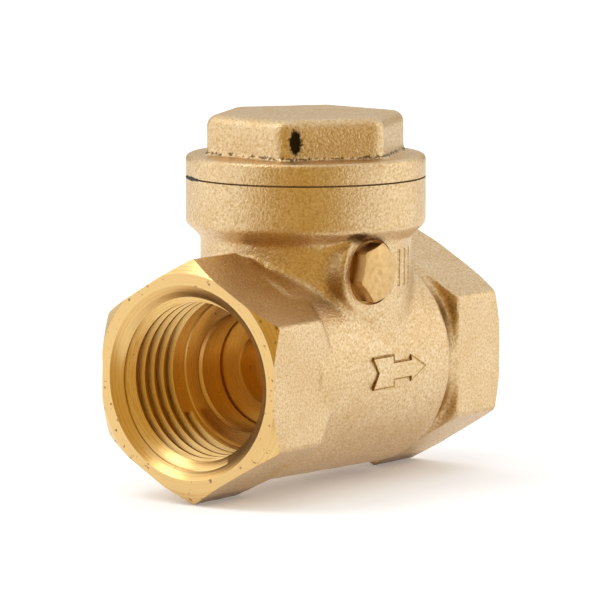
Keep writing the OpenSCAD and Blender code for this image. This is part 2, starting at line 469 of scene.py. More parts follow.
def linear(code: str) -> tuple[float, float, float, float]:
    """Turns an sRGB hex colour to linear.

    Args:
        code: The colour, such as "#DEB878".

    Returns:
        Red, green, blue and an alpha of 1.
    """
    parts = [int(code[i : i + 2], 16) / 255 for i in (1, 3, 5)]
    red, green, blue = (c / 12.92 if c <= 0.04045 else ((c + 0.055) / 1.055) ** 2.4 for c in parts)
    return red, green, blue, 1.0


def per_mm(size: float) -> float:
    """The texture scale at which one feature is a given number of millimetres wide."""
    return 1 / (size * MM)


def add(tree: Tree, kind: str, inputs: dict[str | int, Any] | None = None, **settings: Any) -> Any:
    """Adds a node with its settings, values and links.

    Args:
        tree: The node tree.
        kind: The node's type, without the leading ShaderNode.
        inputs: Socket names or numbers, each with a value or with the socket that it is linked from.
        **settings: The node's own properties.

    Returns:
        The node.
    """
    made = tree.nodes.new("ShaderNode" + kind)
    for name, value in settings.items():
        setattr(made, name, value)
    for key, value in (inputs or {}).items():
        if isinstance(value, Socket):
            tree.links.new(value, made.inputs[key])
        else:
            made.inputs[key].default_value = value
    return made


def blank(name: str) -> tuple[Material, Tree]:
    """A new material with no nodes.

    Args:
        name: The material's name.

    Returns:
        The material and its node tree.
    """
    made = bpy.data.materials.new(name)
    made.use_nodes = True
    made.node_tree.nodes.clear()
    return made, made.node_tree


def levels(start: float, end: float, low: float = 0.0, high: float = 1.0) -> dict[str | int, Any]:
    """The inputs of a Map Range node that takes one span of values to another."""
    return {"From Min": start, "From Max": end, "To Min": low, "To Max": high}


def layered(tree: Tree, colour: Any, layers: Sequence[tuple[str, Socket, dict[str | int, Any]]]) -> Socket:
    """Lays shades over a colour, each where a pattern has the levels that it covers.

    Args:
        tree: The node tree.
        colour: The lowest colour.
        layers: For each layer its shade, its pattern and how the pattern's levels turn into cover.

    Returns:
        The colour with every layer.
    """
    for shade, pattern, span in layers:
        cover = add(tree, "MapRange", {"Value": pattern, **span}).outputs[0]
        colour = add(tree, "Mix", {0: cover, 6: colour, 7: linear(shade)}, data_type="RGBA").outputs[2]
    return colour


def metal(tree: Tree, colour: Socket, relief: Socket, depth: float, rough: tuple[float, float]) -> None:
    """Ends a metal's nodes: its roughness and its bump both follow the relief.

    Args:
        tree: The node tree.
        colour: The colour.
        relief: The noise that is the surface's relief.
        depth: The relief's depth, in millimetres.
        rough: The roughness where the relief is low, and where it is high.
    """
    sheen = add(tree, "MapRange", {"Value": relief, **levels(0.3, 0.7, *rough)})
    bump = add(tree, "Bump", {"Strength": 1.0, "Distance": depth * MM, "Height": relief})
    surface = {"Base Color": colour, "Metallic": 1.0, "Roughness": sheen.outputs[0], "Normal": bump.outputs[0]}
    add(tree, "OutputMaterial", {"Surface": add(tree, "BsdfPrincipled", surface).outputs[0]})


@dataclass(frozen=True)
class StainAndShade:
    """A local mark on a surface, used both for stained patches and for painted shade: where it is, how far it reaches
    and its colour.
    """

    centre: tuple[float, float, float]
    reach: tuple[float, float, float]
    colour: str
    strength: float = 1.0
    # Width of its frayed edge, as a part of its reach
    edge: float = 0.7
    # How much it is broken into flecks of about half a millimetre, from 0 for a solid mark
    flecked: float = 0.0


@dataclass(frozen=True)
class BlastedBrass:
    """Sand-cast brass, shot blasted: matte and pale, with a grain of tiny dents, painted shade in their floors and a
    painted glint on their rims.
    """

    name: str
    base: str = "#DBC097"
    # Painted shade in the dents' floors, and a painted glint on their rims
    painted_pit_shade: str = "#C2A26C"
    painted_glint: str = "#EBD8B0"
    # Slow patches of a deeper gold, about 5 mm across
    patch: str = "#C49A5E"
    patched: float = 0.35
    cloud: float = 5.0
    # Painted shade, darkening corners about 1.5 mm deep
    tarnish_and_corner_shade: str = "#7A5426"
    hollow: float = 1.5
    # The dents are about 0.3 mm across
    grain: float = 0.3
    dent: float = 0.1
    fleck: float = 0.55
    # The roughness on the dents' rims and in their floors
    rough: tuple[float, float] = (0.3, 0.44)
    stains_and_shade: tuple[StainAndShade, ...] = ()

    def make(self) -> Material:
        """Builds the material.

        Returns:
            The material.
        """
        material, tree = blank(self.name)
        place = add(tree, "TexCoord").outputs["Object"]
        grain, cloud, flecks = (
            add(tree, "TexNoise", {"Vector": place, "Scale": per_mm(size), "Detail": detail, "Roughness": part})
            .outputs[0]
            for size, detail, part in ((self.grain, 2.5, 0.62), (self.cloud, 3.0, 0.6), (self.fleck, 3.0, 0.6))
        )
        painted_shade_mask = add(tree, "AmbientOcclusion", {"Distance": self.hollow * MM}, samples=8).outputs["AO"]
        # Each shade fades in between two levels of its pattern
        # The grain's lows are painted shade in the dents, and its highs a painted glint on their rims
        colour = layered(tree, linear(self.painted_pit_shade), (
            (self.base, grain, levels(0.34, 0.52)),
            (self.painted_glint, grain, levels(0.56, 0.74)),
            (self.patch, cloud, levels(0.35, 0.7, 0.0, self.patched)),
            # Painted shade darkens the corners that ambient occlusion finds
            (self.tarnish_and_corner_shade, painted_shade_mask, levels(0.3, 0.8, 0.65, 0.0)),
        ))
        for stain_and_shade in self.stains_and_shade:
            colour = self.mark(tree, place, flecks, grain, stain_and_shade, colour)
        metal(tree, colour, grain, self.dent, self.rough[::-1])
        return material

    def mark(self, tree: Tree, place: Socket, flecks: Socket, grain: Socket, stain_and_shade: StainAndShade, colour: Socket) -> Socket:
        """Lays one mark over the colour, a stained patch or a patch of painted shade.

        Args:
            tree: The node tree.
            place: The object coordinates.
            flecks: The middling noise, which breaks the mark up.
            grain: The fine noise, which frays its edge.
            stain_and_shade: The mark.
            colour: The colour below it.

        Returns:
            The colour with the mark.
        """
        fray, thinned = 0.5, 1.1 * stain_and_shade.flecked
        spread = 0.8 + 6 * stain_and_shade.flecked
        centre, reach = ([v * MM for v in size] for size in (stain_and_shade.centre, stain_and_shade.reach))
        spot = add(tree, "Mapping", {"Vector": place, "Location": centre, "Scale": reach}, vector_type="TEXTURE")
        far = add(tree, "VectorMath", {0: spot.outputs[0]}, operation="LENGTH").outputs["Value"]
        for noise, share in ((flecks, spread), (grain, fray)):
            far = add(tree, "Math", {0: noise, 1: share, 2: far}, operation="MULTIPLY_ADD").outputs[0]
        # The edge lies a little inside the reach, once the noises' middle levels are taken off
        edge = 0.85 + NOISE_MEAN * (spread + fray) - thinned
        fade = levels(edge - stain_and_shade.edge / 2, edge + stain_and_shade.edge / 2, stain_and_shade.strength, 0.0)
        return layered(tree, colour, ((stain_and_shade.colour, far, fade),))


@dataclass(frozen=True)
class TurnedBrass:
    """Brass cut on a lathe: bright, with fine rings round the axis that it was turned about."""

    name: str
    axis: Axis
    centre: Sequence[float] = (0.0, 0.0, 0.0)
    base: str = "#EBCD94"
    ring_shade: str = "#D8B26C"
    tarnish_and_corner_shade: str = "#7D5444"
    # The finest feed marks are 0.08 mm apart, and they show in bands of two or three
    feed: float = 0.08
    depth: float = 0.004
    rough: tuple[float, float] = (0.24, 0.38)
    # Specks of tarnish of about a millimetre, and the noise levels between which one fades in
    speck: float = 0.9
    specks: tuple[float, float] = (0.7, 0.76)
    stained: float = 0.8

    def make(self) -> Material:
        """Builds the material.

        Returns:
            The material.
        """
        material, tree = blank(self.name)
        place = add(tree, "TexCoord").outputs["Object"]
        moved = add(tree, "VectorMath", {0: place, 1: [c * MM for c in self.centre]}, operation="SUBTRACT").outputs[0]
        along = add(tree, "VectorMath", {0: moved, 1: self.axis.along}, operation="DOT_PRODUCT")
        crossed = add(tree, "VectorMath", {0: moved, 1: self.axis.along}, operation="CROSS_PRODUCT")
        radius = add(tree, "VectorMath", {0: crossed.outputs[0]}, operation="LENGTH")
        flat = add(tree, "CombineXYZ", {"X": along.outputs["Value"], "Y": radius.outputs["Value"]}).outputs[0]
        rings, cloud = (
            add(tree, "TexNoise", {"Vector": at, "Scale": per_mm(size), "Detail": detail, "Roughness": part})
            .outputs[0]
            for at, size, detail, part in ((flat, self.feed, 2.0, 0.7), (place, self.speck, 3.0, 0.6))
        )
        colour = layered(tree, linear(self.ring_shade), (
            (self.base, rings, levels(0.35, 0.6)), (self.tarnish_and_corner_shade, cloud, levels(*self.specks, 0.0, self.stained)),
        ))
        metal(tree, colour, rings, self.depth, self.rough)
        return material


@dataclass(frozen=True)
class GroundSteel:
    """Stainless steel, ground or rolled: grey and fairly bright, with fine scratches drawn out one way."""

    name: str
    # How much finer the scratches are along each axis than across it
    stretch: tuple[float, float, float]
    base: str = "#B9B7B2"
    dull: str = "#85827C"
    scratch: float = 0.12
    depth: float = 0.004
    rough: tuple[float, float] = (0.22, 0.4)

    def make(self) -> Material:
        """Builds the material.

        Returns:
            The material.
        """
        material, tree = blank(self.name)
        drawn = add(tree, "Mapping", {"Vector": add(tree, "TexCoord").outputs["Object"], "Scale": self.stretch})
        scale = per_mm(self.scratch)
        lines = add(tree, "TexNoise", {"Vector": drawn.outputs[0], "Scale": scale, "Detail": 3.0}).outputs[0]
        tone = add(tree, "Mix", {0: lines, 6: linear(self.dull), 7: linear(self.base)}, data_type="RGBA")
        metal(tree, tone.outputs[2], lines, self.depth, self.rough)
        return material


@dataclass(frozen=True)
class FibreGasket:
    """Compressed fibre or jointing paste: dull, with short fibres."""

    name: str
    base: str
    fibre: str
    fibre_width: float = 0.12
    depth: float = 0.03
    rough: float = 0.7

    def make(self) -> Material:
        """Builds the material.

        Returns:
            The material.
        """
        material, tree = blank(self.name)
        place = add(tree, "TexCoord").outputs["Object"]
        weave = {"Vector": place, "Scale": per_mm(self.fibre_width), "Detail": 3.0, "Distortion": 1.5}
        fibres = add(tree, "TexNoise", weave).outputs[0]
        tone = add(tree, "Mix", {0: fibres, 6: linear(self.base), 7: linear(self.fibre)}, data_type="RGBA")
        bump = add(tree, "Bump", {"Strength": 1.0, "Distance": self.depth * MM, "Height": fibres})
        surface = {"Base Color": tone.outputs[2], "Roughness": self.rough, "Normal": bump.outputs[0]}
        add(tree, "OutputMaterial", {"Surface": add(tree, "BsdfPrincipled", surface).outputs[0]})
        return material


# ---------------------------------------------------------------- the valve's pieces


@dataclass
class Piece:
    """One named piece of the valve: the CAD node it stands for, its body and its material slot."""

    node: str
    body: str
    slot: str

    def seat(self, shape: Solid, finish: Material | None = None) -> None:
        """Scales a finished shape to metres, shades it and puts it in the CAD node's place.

        Args:
            shape: The shape, in millimetres.
            finish: The finish for all of it, where its faces have none yet.
        """
        shape.name = self.node + "_detail"
        mesh = shape.data
        if finish is not None:
            mesh.materials.clear()
            mesh.materials.append(finish)
        mesh.transform(Matrix.Scale(MM, 4))
        mesh.shade_smooth()
        mesh.set_sharp_from_angle(angle=CREASE)
        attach(shape, self.body)
        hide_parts(self.node)
        mesh.calc_loop_triangles()
        log.info("%s on %s: %d triangles", shape.name, self.body, len(mesh.loop_triangles))


@dataclass
class PipeThread:
    """The female pipe thread at both ends, with its bevelled mouth and the cone that leads in to it."""

    major_r: float = 10.478
    minor_r: float = 9.316
    pitch: float = 1.814
    mouth_r: float = 11.5
    mouth_depth: float = 0.6
    cone_r: tuple[float, float] = (10.75, 10.6)
    counterbore: float = 0.8
    lead_in: float = 1.4
    thread_end: float = 10.3
    floor: float = 11.8
    floor_round: float = 0.15
    root_w: float = 0.14
    crest_w: float = 0.76

    def bore(self, floor_r: float, beyond: Profile) -> Profile:
        """The outline of the socket.

        Args:
            floor_r: The radius at the socket's floor.
            beyond: The outline's further points, from there inwards.

        Returns:
            The whole outline, from outside the mouth.
        """
        slope = (self.mouth_r - self.cone_r[0]) / self.mouth_depth
        return [
            (0, -OVER), (self.mouth_r + slope * OVER, -OVER), (self.cone_r[0], self.mouth_depth),
            (self.cone_r[1], self.counterbore), (self.minor_r, self.counterbore + self.lead_in),
            (self.minor_r, self.floor - self.floor_round), (floor_r, self.floor), *beyond,
        ]

    def groove(self, centre: Vector, way: float) -> Solid:
        """The thread's groove, which starts in the lead-in cone.

        Args:
            centre: The mouth's centre.
            way: 1 where the socket runs along +X, or -1.

        Returns:
            The ridge that cuts it.
        """
        inner = self.minor_r - 0.06
        start = self.counterbore - self.crest_w
        section = [
            (inner, start - self.crest_w), (self.major_r, start - self.root_w),
            (self.major_r, start + self.root_w), (inner, start + self.crest_w),
        ]
        turns = (self.thread_end - start) / self.pitch
        cutter = helix(section, Axis.PIPE, Vector(), self.pitch, turns)
        if way < 0:
            cutter.data.transform(Matrix.Rotation(math.pi, 4, "Z"))
        cutter.data.transform(Matrix.Translation(centre))
        return cutter


@dataclass
class ValveBody(Piece):
    """The cast body: two hexagonal ends, the barrel, the neck with its rim, the pin's boss and the flow arrow."""

    thread: PipeThread = field(default_factory=PipeThread)
    nose_step: float = 0.3
    inlet_nose: float = 1.25
    outlet_nose: float = 1.0
    inlet_hex: float = 9.4
    rear_chamfer: float = 2.1
    outlet_hex: float = 9.1
    # The bevel on the outlet hexagon's corners: its depth, and where it starts before the hexagon and ends in it
    outlet_bevel: tuple[float, float, float] = (0.9, 0.2, 2.0)
    barrel_r: float = 12.9
    barrel_end_r: float = 13.5
    waist: float = 2.8
    waist_drop: float = 0.2
    neck_r: float = 12.65
    neck_bore_r: float = 10.4
    neck_bore_z: float = 8.9
    rim_foot: float = 17.0
    rim_slope: float = 1.6
    rim_bore_r: float = 12.5
    seat_bore_r: float = 6.95
    seat_x: float = 15.85
    seat_ring_r: float = 8.4
    lip: float = 0.3
    # The chamber's start, end and radius
    chamber: tuple[float, float, float] = (14.85, 33.7, 11.0)
    # The radius of the pin's boss, and its distance from the valve's middle plane, at its foot and at its face
    boss: tuple[tuple[float, float], tuple[float, float]] = ((6.0, 3.88), (5.1, 11.8))
    spotface_r: float = 3.9
    spotface_y: float = 11.65
    plug_hole_r: float = 2.55
    pin_hole_r: float = 1.55
    pin_hole_end: float = 10.79
    arrow_x: float = 18.9
    arrow_len: float = 10.2
    arrow_raised: float = 0.25
    # Half heights of its tail, shaft and head
    arrow_halves: tuple[float, float, float] = (1.8, 0.95, 1.45)
    # How far in its notch reaches, its tail ends and its head starts
    arrow_steps: tuple[float, float, float] = (1.1, 3.9, 7.5)
    # The darker foot round it, mould residue and painted edge shade: how far it is raised, grown and shifted
    arrow_foot_residue_and_shade: tuple[float, float, float] = (0.05, 0.18, 0.32)
    # Three shallow upright nicks beside the plug: their places and their depths from the pipe axis
    nicks: tuple[tuple[float, float], ...] = ((25.1, 12.72), (26.6, 12.46), (28.0, 12.0))
    nick_r: float = 0.42
    nick_z: tuple[float, float] = (9.9, 14.3)
    voxel: float = 0.3

    def __post_init__(self) -> None:
        """Takes the outer sizes from the CAD boxes."""
        low, high = box_mm(self.node)
        cap_low, cap_high = box_mm("bonnet_cap")
        self.length = high.x
        self.hex_r = -low.z
        self.rim_z = high.z
        self.rim_r = (cap_high.x - cap_low.x) / 2
        self.neck = foot_mm("bonnet_cap")
        self.pin = middle_mm("hinge_pin")
        self.nose_r = self.hex_r * math.cos(math.pi / 6) + self.nose_step

    def hexagons(self) -> list[Solid]:
        """The two hexagonal ends, a little longer than the finished ones.

        Returns:
            The inlet's and the outlet's.
        """
        inlet = hexagon(self.hex_r, -OVER, self.inlet_hex + self.rear_chamfer, Axis.PIPE, Vector())
        slope = self.rear_chamfer / (self.hex_r - self.barrel_r)
        wide, past = self.hex_r + CLEAR, 0.3
        rear = self.inlet_hex + self.rear_chamfer + past * slope
        corner = [
            (wide, self.inlet_hex - slope * (wide - self.hex_r)), (self.barrel_r - past, rear), (wide, rear)
        ]
        machine(inlet, turned(corner, Axis.PIPE, Vector(), ring=True))
        start = self.length - self.outlet_hex
        outlet = hexagon(self.hex_r, start, self.length + OVER, Axis.PIPE, Vector())
        deep, before, within = self.outlet_bevel
        bevel = [(self.hex_r - deep, start - before), (wide, start - before), (wide, start + within)]
        machine(outlet, turned(bevel, Axis.PIPE, Vector(), ring=True))
        return [inlet, outlet]

    def arrow(self, name: str, raised: float, grow: float = 0.0, shift: float = 0.0) -> Solid:
        """A level of the raised flow arrow, with a notched tail.

        Args:
            name: The level's name.
            raised: How far it stands out of the barrel.
            grow: How much wider it is than the arrow, on every side.
            shift: How far it is moved towards the outlet.

        Returns:
            The level. Its top has the first finish and its sides the second.
        """
        tail, shaft, head = (half + grow for half in self.arrow_halves)
        notch, tail_end, head_start = self.arrow_steps
        steps = ((-grow, tail), (tail_end + grow, tail), (tail_end + grow, shaft))
        half = [*steps, (head_start - grow, shaft), (head_start - grow, head)]
        # The tip's sides slope, so that the tip itself moves further out than they do
        tip = self.arrow_len + 1.5 * grow
        outline = half + [(tip, 0)] + [(x, -z) for x, z in reversed(half)] + [(notch - grow, 0)]
        bm = bmesh.new()
        flare = (self.barrel_end_r - self.barrel_r) / (self.length - self.outlet_hex - self.waist - self.inlet_hex)
        height = self.barrel_r + flare * (self.arrow_x - self.inlet_hex) + raised
        root = 2.0  # How deep it reaches into the barrel
        face = bm.faces.new([bm.verts.new((self.arrow_x + shift + x, -height + root, z)) for x, z in outline])
        grown = bmesh.ops.extrude_face_region(bm, geom=[face])["geom"]
        top = [g for g in grown if isinstance(g, bmesh.types.BMVert)]
        bmesh.ops.translate(bm, verts=top, vec=(0, -root, 0))
        closed(bm)
        edges = [e for e in bm.edges if all(v.co.y < MERGE_MM - height for v in e.verts)]
        bmesh.ops.bevel(bm, geom=edges, offset=raised / 2, segments=4, profile=0.5, affect="EDGES", material=-1)
        # The arrow leans with the barrel, whose radius grows towards the outlet
        lean = Matrix.Identity(4)
        lean[1][0], lean[1][3] = -flare, flare * self.arrow_x
        bmesh.ops.transform(bm, matrix=lean, verts=bm.verts)
        closed(bm)
        # Whatever leans well away from straight out is a side
        for side in bm.faces:
            side.material_index = int(side.normal.y > -0.8)
        return mesh_object(name, bm)

    def middle(self) -> list[Solid]:
        """The barrel, the neck and the pin's boss, which flow into each other.

        Returns:
            The three solids.
        """
        start, hex_start = self.inlet_hex - LAP, self.length - self.outlet_hex
        end = hex_start - self.waist
        waist_r = self.nose_r - self.nose_step - self.waist_drop
        outline = [(0, start), (self.barrel_r, start), (self.barrel_end_r, end), (waist_r, end + self.waist / 3)]
        barrel = turned([*outline, (waist_r, hex_start + OVER), (0, hex_start + OVER)], Axis.PIPE, Vector())
        neck = rod(self.neck_r, 0, self.rim_foot, Axis.BONNET, self.neck)
        boss = turned([(0, self.boss[0][1]), *self.boss, (0, self.boss[1][1])], Axis.PLUG, self.pin)
        return [barrel, neck, boss]

    def rim(self) -> Solid:
        """The rim round the bonnet, with the slope under it.

        Returns:
            The solid.
        """
        foot, top = self.rim_foot - self.rim_slope, self.rim_z + OVER
        outline = [(0, foot - LAP), (self.neck_r, foot - LAP), (self.neck_r, foot), (self.rim_r, self.rim_foot)]
        return turned([*outline, (self.rim_r, top), (0, top)], Axis.BONNET, self.neck)

    def facing(self) -> list[Solid]:
        """The cuts that face both ends and turn their noses.

        Returns:
            The tools.
        """
        cuts = []
        for depth, centre, way in ((self.inlet_nose, 0.0, 1), (self.outlet_nose, self.length, -1)):
            slope = depth / (self.hex_r - self.nose_r)
            outline = [(0, -CLEAR), (WIDE, -CLEAR), (WIDE, slope * (WIDE - self.nose_r)), (self.nose_r, 0), (0, 0)]
            cuts.append(turned([(r, way * a) for r, a in outline], Axis.PIPE, Vector((centre, 0, 0))))
        return cuts

    def boring(self) -> list[Solid]:
        """The cuts that bore and thread both sockets, the seat bore and the chamber.

        Returns:
            The tools.
        """
        bore_r, lip, minor_r, past = self.seat_bore_r, self.lip, self.thread.minor_r, 0.05
        seat = [
            (bore_r + lip, self.thread.floor), (bore_r, self.thread.floor + lip), (bore_r, self.seat_x - lip),
            (bore_r + lip + past, self.seat_x + past), (0, self.seat_x + past),
        ]
        inlet = self.thread.bore(minor_r - self.thread.floor_round, seat)
        start, end, radius = self.chamber
        chamber = [
            (0, self.seat_x), (self.seat_ring_r, self.seat_x), (self.seat_ring_r, start),
            (radius, start), (radius, end), (0, end),
        ]
        reach = self.length - end + OVER
        outlet = [(r, -a) for r, a in self.thread.bore(minor_r, [(minor_r, reach), (0, reach)])]
        mouth = Vector((self.length, 0, 0))
        outlines = ((inlet, Vector()), (chamber, Vector()), (outlet, mouth))
        cuts = [turned(outline, Axis.PIPE, centre) for outline, centre in outlines]
        return [*cuts, self.thread.groove(Vector(), 1), self.thread.groove(mouth, -1)]

    def neck_boring(self) -> list[Solid]:
        """The cuts that face the rim and bore it for the cap.

        Returns:
            The tools.
        """
        bore = [
            (0, self.neck_bore_z), (self.neck_bore_r, self.neck_bore_z), (self.neck_bore_r, self.rim_foot),
            (self.rim_bore_r, self.rim_foot), (self.rim_bore_r, self.rim_z + OVER), (0, self.rim_z + OVER),
        ]
        rim = rod(WIDE, self.rim_z, self.rim_z + CLEAR, Axis.BONNET, self.neck)
        return [rim, turned(bore, Axis.BONNET, self.neck)]

    def drilling(self) -> list[Solid]:
        """The cut that spot-faces the boss, and drills it for the plug and the pin.

        Returns:
            The tool.
        """
        spot = [
            (0, -self.pin_hole_end), (self.pin_hole_r, -self.pin_hole_end), (self.pin_hole_r, 0),
            (self.plug_hole_r, 0), (self.plug_hole_r, self.spotface_y), (self.spotface_r, self.spotface_y),
            (self.spotface_r, self.spotface_y + CLEAR), (0, self.spotface_y + CLEAR),
        ]
        return [turned(spot, Axis.PLUG, self.pin, steps=72)]

    def nicking(self) -> list[Solid]:
        """The cuts of the nicks beside the plug."""
        return [rod(self.nick_r, *self.nick_z, Axis.BONNET, Vector((x, -depth, 0))) for x, depth in self.nicks]

    def build(
        self, cast_finish: Material, face: Material, bore: Material, neck: Material, plug: Material, residue_and_edge_shade: Material
    ) -> None:
        """Casts and machines the body.

        Args:
            cast_finish: The blasted finish.
            face: Turned brass of the two ends, round the pipe axis.
            bore: Bored brass round the pipe axis.
            neck: Turned brass round the bonnet's axis.
            plug: Turned brass round the plug's axis, darkened on the spot face by dirt and painted shade round the
                plug's head.
            residue_and_edge_shade: Brass with dark residue and painted edge shade, on the arrow's sides and its foot.
        """
        middle = cast("middle", self.middle(), self.voxel, soften=2, flow=10)
        casting = cast("body", [middle, self.rim(), *self.hexagons()], self.voxel, soften=3, flow=1, waviness=0.1)
        casting.data.materials.append(cast_finish)
        for level, top in (
            # A darker foot, shifted towards the outlet, paints shade along the arrow's edges
            (self.arrow("arrow_foot_residue_and_shade", *self.arrow_foot_residue_and_shade), residue_and_edge_shade),
            (self.arrow("arrow", self.arrow_raised), cast_finish),
        ):
            level.data.materials.append(top)
            machine(casting, level, Cut.WELD, finish=residue_and_edge_shade)
        for cuts, finish in (
            (self.nicking, cast_finish), (self.facing, face), (self.boring, bore),
            (self.neck_boring, neck), (self.drilling, plug),
        ):
            for tool in cuts():
                machine(casting, tool, finish=finish)
        self.seat(casting)


@dataclass
class BonnetCap(Piece):
    """The screwed cap: a rounded hexagon on a round flange, with a hollow threaded spigot below."""

    across_flats: float = 21.6
    turn: float = 22.5
    corner_setback: float = 1.0
    top_round: float = 1.35
    flange_z: float = 22.65
    flange_t: float = 2.55
    flange_round: float = 0.55
    spigot_wall: float = 2.7
    spigot_slack: float = 1.93
    spigot_bevel: float = 0.5
    runout: float = 1.0
    thread: ScrewThread = ScrewThread(1.5, 0.5, 0.6, 0.12)
    voxel: float = 0.25

    def build(self, cast_finish: Material, bright: Material) -> None:
        """Forges the cap and turns its underside and spigot.

        Args:
            cast_finish: The blasted finish.
            bright: Turned brass round the cap's axis.
        """
        low, high = box_mm(self.node)
        flange_r = (high.x - low.x) / 2
        centre = foot_mm(self.node)
        hex_z = self.flange_z + self.flange_t
        spigot_r, bevel = flange_r - self.spigot_slack, self.spigot_bevel
        head = hexagon(
            self.across_flats / math.sqrt(3), self.flange_z, high.z, Axis.BONNET, centre,
            turn=self.turn, side_round=self.corner_setback, top_round=self.top_round,
        )
        rounding = [
            (flange_r - self.flange_round * (1 - math.cos(a)), hex_z - self.flange_round * (1 - math.sin(a)))
            for a in (math.radians(d) for d in (0, 30, 60, 90))
        ]
        flange = [(0, self.flange_z - OVER), (flange_r, self.flange_z - OVER), *rounding, (0, hex_z)]
        stock = [head, turned(flange, Axis.BONNET, centre)]
        cap = cast("cap", stock, self.voxel, soften=3, flow=10, waviness=0.05)
        cap.data.materials.append(cast_finish)
        machine(cap, rod(flange_r + CLEAR, low.z - OVER, self.flange_z, Axis.BONNET, centre), finish=bright)
        spigot = [
            (0, low.z), (spigot_r - bevel, low.z), (spigot_r, low.z + bevel),
            (spigot_r, self.flange_z + LAP), (0, self.flange_z + LAP),
        ]
        machine(cap, turned(spigot, Axis.BONNET, centre), Cut.WELD, finish=bright)
        start, length = centre + Vector((0, 0, low.z)), self.flange_z - low.z - self.runout
        machine(cap, self.thread.groove(spigot_r, Axis.BONNET, start, length), finish=bright)
        machine(cap, rod(spigot_r - self.spigot_wall, low.z - OVER, hex_z, Axis.BONNET, centre), finish=bright)
        self.seat(cap)


@dataclass
class BonnetGasket(Piece):
    """The thin gasket under the cap's flange, with paste squeezed out at one place."""

    width: float = 1.5
    bulge: float = 0.35
    bead_r: float = 0.24
    bead_out: float = 0.3
    # Where the bead starts round the cap, and how far it runs, in degrees
    bead_from: float = 132.0
    bead_sweep: float = 23.0

    def build(self, finish: Material, paste: Material) -> None:
        """Cuts the ring and lays the bead.

        Args:
            finish: The gasket's finish.
            paste: The finish of the squeezed-out paste.
        """
        low, high = box_mm(self.node)
        radius = (high.x - low.x) / 2
        centre, middle = foot_mm(self.node), middle_mm(self.node).z
        inner = radius - self.width
        ring = turned(
            [(inner, low.z), (radius, low.z), (radius + self.bulge, middle), (radius, high.z), (inner, high.z)],
            Axis.BONNET, centre, ring=True,
        )
        ring.data.materials.append(finish)
        machine(ring, self.bead(centre, radius + self.bead_out, middle), Cut.WELD, finish=paste)
        self.seat(ring)

    def bead(self, centre: Vector, radius: float, level: float) -> Solid:
        """A bead of paste that tapers out at both ends.

        Args:
            centre: A point on the cap's axis.
            radius: The distance of the bead from that axis.
            level: Its height.

        Returns:
            The bead.
        """
        bm = bmesh.new()
        bmesh.ops.create_uvsphere(bm, u_segments=24, v_segments=16, radius=1)
        half = math.radians(self.bead_sweep / 2)
        for vert in bm.verts:
            angle = math.radians(self.bead_from) + half + vert.co.z * half
            out = radius + vert.co.x * self.bead_r
            wave = 1 + 0.25 * math.sin(9 * vert.co.z)
            vert.co = (
                centre.x + out * math.cos(angle), centre.y + out * math.sin(angle),
                level + vert.co.y * self.bead_r * wave,
            )
        return mesh_object("bead", closed(bm))


@dataclass
class HingePin(Piece):
    """The ground pin that the hanger swings on."""

    end_round: float = 0.25

    def build(self, finish: Material) -> None:
        """Turns the pin.

        Args:
            finish: The pin's finish.
        """
        low, high = box_mm(self.node)
        radius = (high.x - low.x) / 2
        start, end, r = -high.y, -low.y, self.end_round
        outline = [
            (0, start), (radius - r, start), (radius - 0.3 * r, start + 0.3 * r), (radius, start + r),
            (radius, end - r), (radius - 0.3 * r, end - 0.3 * r), (radius - r, end), (0, end),
        ]
        self.seat(turned(outline, Axis.PLUG, middle_mm(self.node), steps=64), finish)


@dataclass
class PinPlug(Piece):
    """The small hexagonal plug that closes the pin's hole."""

    across_flats: float = 6.3
    turn: float = 15.0
    head_y: float = 11.65
    shank_r: float = 2.5
    shank_bevel: float = 0.3
    # The radius and depth of the hole for the pin's end, and of the mark in the head's middle
    socket: tuple[float, float] = (1.55, 1.3)
    dimple: tuple[float, float] = (0.42, 0.28)
    chamfer_r: float = 3.25
    chamfer_slope: float = 0.55
    # How far in and down the face's edge is broken
    edge: tuple[float, float] = (0.15, 0.06)
    runout: float = 0.5
    thread: ScrewThread = ScrewThread(0.8, 0.35, 0.32, 0.06)

    def build(self, finish: Material) -> None:
        """Makes the plug's head, shank, socket and dimple.

        Args:
            finish: The plug's finish.
        """
        low, high = box_mm(self.node)
        centre = middle_mm("hinge_pin")
        foot, face = -high.y, -low.y
        corner = self.across_flats / math.sqrt(3)
        plug = hexagon(corner, self.head_y, face, Axis.PLUG, centre, turn=self.turn, side_round=0.3, segments=4)
        wide, top = corner + OVER, self.head_y + LAP
        broken, drop = self.edge
        dome = [
            (0, foot - CLEAR), (wide, foot - CLEAR), (wide, face - self.chamfer_slope * (wide - self.chamfer_r)),
            (self.chamfer_r, face - drop), (self.chamfer_r - broken, face), (0, face),
        ]
        shank_r, bevel = self.shank_r, self.shank_bevel
        shank = [(0, foot), (shank_r - bevel, foot), (shank_r, foot + bevel), (shank_r, top), (0, top)]
        for outline, how in ((dome, Cut.KEEP), (shank, Cut.WELD)):
            machine(plug, turned(outline, Axis.PLUG, centre, steps=96), how)
        start, length = centre + Axis.PLUG.along * foot, self.head_y - foot - self.runout
        machine(plug, self.thread.groove(shank_r, Axis.PLUG, start, length))
        hole_r, depth = self.socket
        machine(plug, rod(hole_r, foot - OVER, foot + depth, Axis.PLUG, centre))
        mark_r, depth = self.dimple
        dimple = [(0, face - depth), (mark_r, face + 0.02), (mark_r, face + OVER), (0, face + OVER)]
        machine(plug, turned(dimple, Axis.PLUG, centre, steps=32))
        self.seat(plug, finish)


